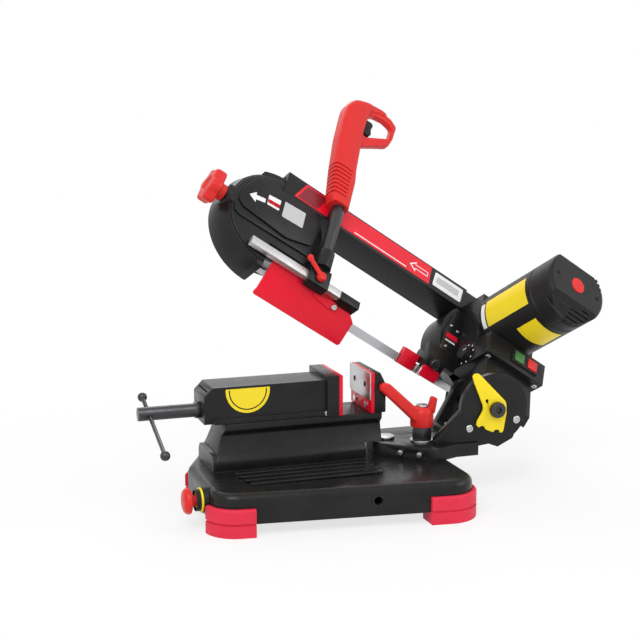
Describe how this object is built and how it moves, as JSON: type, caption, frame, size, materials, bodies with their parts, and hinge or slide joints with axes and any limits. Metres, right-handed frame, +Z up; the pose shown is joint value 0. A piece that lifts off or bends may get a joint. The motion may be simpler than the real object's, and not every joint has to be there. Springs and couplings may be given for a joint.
{
  "type": "portable band saw",
  "caption": "Bench-standing portable metal band saw: raised bow with motor and handle on a swivel hinge, over a base with a screw vise.",
  "frame": {"origin": "centre of the four stand bolts, on the underside of the base casting", "axes": "+X to the right, towards the hinge and motor; +Y to the back, away from the operator; +Z up"},
  "size_m": [0.7306, 0.4964, 0.5902],
  "materials": {
    "black_casting": "satin black paint on cast aluminium",
    "black_plastic": "fine grained black plastic",
    "red_plastic": "smooth red plastic",
    "red_paint": "red powder paint",
    "red_rubber": "matt red rubber",
    "yellow_plastic": "yellow plastic",
    "green_plastic": "green plastic",
    "black_trigger": "black plastic",
    "bright_steel": "bright machined steel",
    "blade_steel": "tool steel band",
    "guide_alloy": "natural aluminium",
    "dark_steel": "blackened steel",
    "gear_steel": "gear steel",
    "wheel_iron": "turned cast iron",
    "stator_iron": "laminated core with windings"
  },
  "bodies": {
    "base": {"base_casting": "black_casting", "base_feet": "red_rubber", "estop_ring": "yellow_plastic", "estop_contact_block": "black_plastic", "cord_gland": "black_plastic", "vise_bed": "black_casting", "bed_bolts": "bright_steel", "fixed_jaw": "black_casting", "fixed_jaw_plate": "red_paint", "fixed_jaw_face": "bright_steel", "fixed_jaw_screws": "bright_steel", "vise_nut": "bright_steel", "swivel_pin": "bright_steel", "clamp_stud": "bright_steel"},
    "estop_button": {"estop_button": "red_plastic"},
    "vise_slide": {"vise_slide": "black_casting", "moving_jaw_plate": "red_paint"},
    "vise_screw": {"vise_screw": "dark_steel"},
    "tommy_bar": {"tommy_bar": "dark_steel"},
    "swivel": {"swivel_plate": "black_casting", "hinge_bracket": "black_casting", "swivel_screws": "bright_steel", "hinge_pin": "dark_steel", "return_spring": "dark_steel"},
    "swivel_lever": {"swivel_lever": "red_plastic"},
    "spring_lever": {"spring_lever": "yellow_plastic"},
    "head": {"bow_casting": "black_casting", "wheel_cover": "black_casting", "blade": "blade_steel", "gear_case": "black_casting", "motor_housing": "black_plastic", "motor_stator": "stator_iron", "motor_end_cap": "black_plastic", "motor_badge": "red_plastic", "switch_panel": "black_plastic", "handle_bracket": "black_casting", "handle_tube": "dark_steel", "grip_half_near": "red_plastic", "grip_half_far": "red_plastic", "guide_clamp": "black_casting", "rear_guide_holder": "black_casting", "rear_rollers": "bright_steel", "rear_guide_guard": "red_paint", "rear_guide_knob": "bright_steel"},
    "trigger": {"trigger": "black_trigger"},
    "start_button": {"start_button": "green_plastic"},
    "stop_button": {"stop_button": "red_plastic"},
    "speed_dial": {"speed_dial": "black_plastic"},
    "drive_wheel": {"drive_wheel": "wheel_iron", "drive_gear": "gear_steel"},
    "mid_gear": {"mid_gear": "gear_steel"},
    "motor_rotor": {"motor_rotor": "gear_steel"},
    "idler_carriage": {"idler_carriage": "wheel_iron"},
    "idler_wheel": {"idler_wheel": "wheel_iron"},
    "tension_knob": {"tension_knob": "red_plastic"},
    "front_guide": {"guide_bar": "guide_alloy", "blade_guard": "red_paint", "front_guide_block": "black_casting", "front_rollers": "bright_steel"},
    "guide_lock_lever": {"guide_lock_lever": "red_plastic"}
  },
  "joints": [
    {"name": "estop_press", "type": "slide", "parent": "base", "child": "estop_button", "axis": [1, 0, 0], "range_m": [0, 0.005], "stiffness_N_per_m": 600, "springref_m": -0.002},
    {"name": "vise_travel", "type": "slide", "parent": "base", "child": "vise_slide", "axis": [1, 0, 0], "range_m": [-0.063, 0.04]},
    {"name": "vise_screw_turn", "type": "hinge", "parent": "vise_slide", "child": "vise_screw", "pos_m": [-0.189, 0.041, 0.127], "axis": [1, 0, 0], "range_deg": [-5700, 3650]},
    {"name": "tommy_bar_slide", "type": "slide", "parent": "vise_screw", "child": "tommy_bar", "axis": [0, -0.9532, -0.3024], "range_m": [-0.06, 0.02]},
    {"name": "table_swivel", "type": "hinge", "parent": "base", "child": "swivel", "pos_m": [0.104, 0.03, 0.043], "axis": [0, 0, 1], "range_deg": [-45, 0]},
    {"name": "swivel_lever_turn", "type": "hinge", "parent": "base", "child": "swivel_lever", "pos_m": [0.149, -0.005, 0.063], "axis": [0, 0, 1], "range_deg": [0, 70]},
    {"name": "spring_lever_turn", "type": "hinge", "parent": "swivel", "child": "spring_lever", "pos_m": [0.254, -0.04, 0.112], "axis": [0, 1, 0], "range_deg": [-15, 15]},
    {"name": "head_lower", "type": "hinge", "parent": "swivel", "child": "head", "pos_m": [0.254, 0, 0.112], "axis": [0, -1, 0], "range_deg": [0, 30.7], "stiffness_Nm_per_rad": 40, "springref_deg": -34.38},
    {"name": "trigger_pull", "type": "slide", "parent": "head", "child": "trigger", "axis": [-0.8368, 0, 0.5476], "range_m": [0, 0.006], "stiffness_N_per_m": 500, "springref_m": -0.004},
    {"name": "start_press", "type": "slide", "parent": "head", "child": "start_button", "axis": [-0.3371, 0.788, -0.5152], "range_m": [0, 0.003], "stiffness_N_per_m": 500, "springref_m": -0.003},
    {"name": "stop_press", "type": "slide", "parent": "head", "child": "stop_button", "axis": [-0.3371, 0.788, -0.5152], "range_m": [0, 0.003], "stiffness_N_per_m": 500, "springref_m": -0.003},
    {"name": "speed_dial_turn", "type": "hinge", "parent": "head", "child": "speed_dial", "pos_m": [0.26397, 0.08619, 0.17106], "axis": [-0.8368, 0, 0.5476], "range_deg": [0, 270]},
    {"name": "drive_wheel_spin", "type": "hinge", "parent": "head", "child": "drive_wheel", "pos_m": [0.30821, 0.16218, 0.14188], "axis": [0.3371, -0.788, 0.5152], "continuous": true},
    {"name": "mid_gear_spin", "type": "hinge", "parent": "head", "child": "mid_gear", "pos_m": [0.36327, 0.13705, 0.17417], "axis": [0.3371, -0.788, 0.5152], "continuous": true},
    {"name": "motor_spin", "type": "hinge", "parent": "head", "child": "motor_rotor", "pos_m": [0.36182, 0.08639, 0.22381], "axis": [0.3371, -0.788, 0.5152], "continuous": true},
    {"name": "tension_travel", "type": "slide", "parent": "head", "child": "idler_carriage", "axis": [0.8368, 0, -0.5476], "range_m": [0, 0.006]},
    {"name": "idler_wheel_spin", "type": "hinge", "parent": "idler_carriage", "child": "idler_wheel", "pos_m": [-0.04658, 0.16218, 0.37404], "axis": [0.3371, -0.788, 0.5152], "continuous": true},
    {"name": "tension_knob_turn", "type": "hinge", "parent": "head", "child": "tension_knob", "pos_m": [-0.12871, 0.14878, 0.44029], "axis": [0.8368, 0, -0.5476], "range_deg": [-5, 1450]},
    {"name": "front_guide_travel", "type": "slide", "parent": "head", "child": "front_guide", "axis": [0.8368, 0, -0.5476], "range_m": [-0.008, 0.06]},
    {"name": "guide_lock_turn", "type": "hinge", "parent": "head", "child": "guide_lock_lever", "pos_m": [0.01894, 0.08237, 0.30615], "axis": [0.3371, -0.788, 0.5152], "range_deg": [0, 35]}
  ],
  "couplings": [
    {"joint": "vise_screw_turn", "follows": "vise_travel", "rad_per_m": 1570.8},
    {"joint": "tension_knob_turn", "follows": "tension_travel", "rad_per_m": 4188.8},
    {"joint": "idler_wheel_spin", "follows": "drive_wheel_spin", "ratio": 1},
    {"joint": "mid_gear_spin", "follows": "drive_wheel_spin", "ratio": -6.3214},
    {"joint": "motor_spin", "follows": "drive_wheel_spin", "ratio": 53.521}
  ]
}
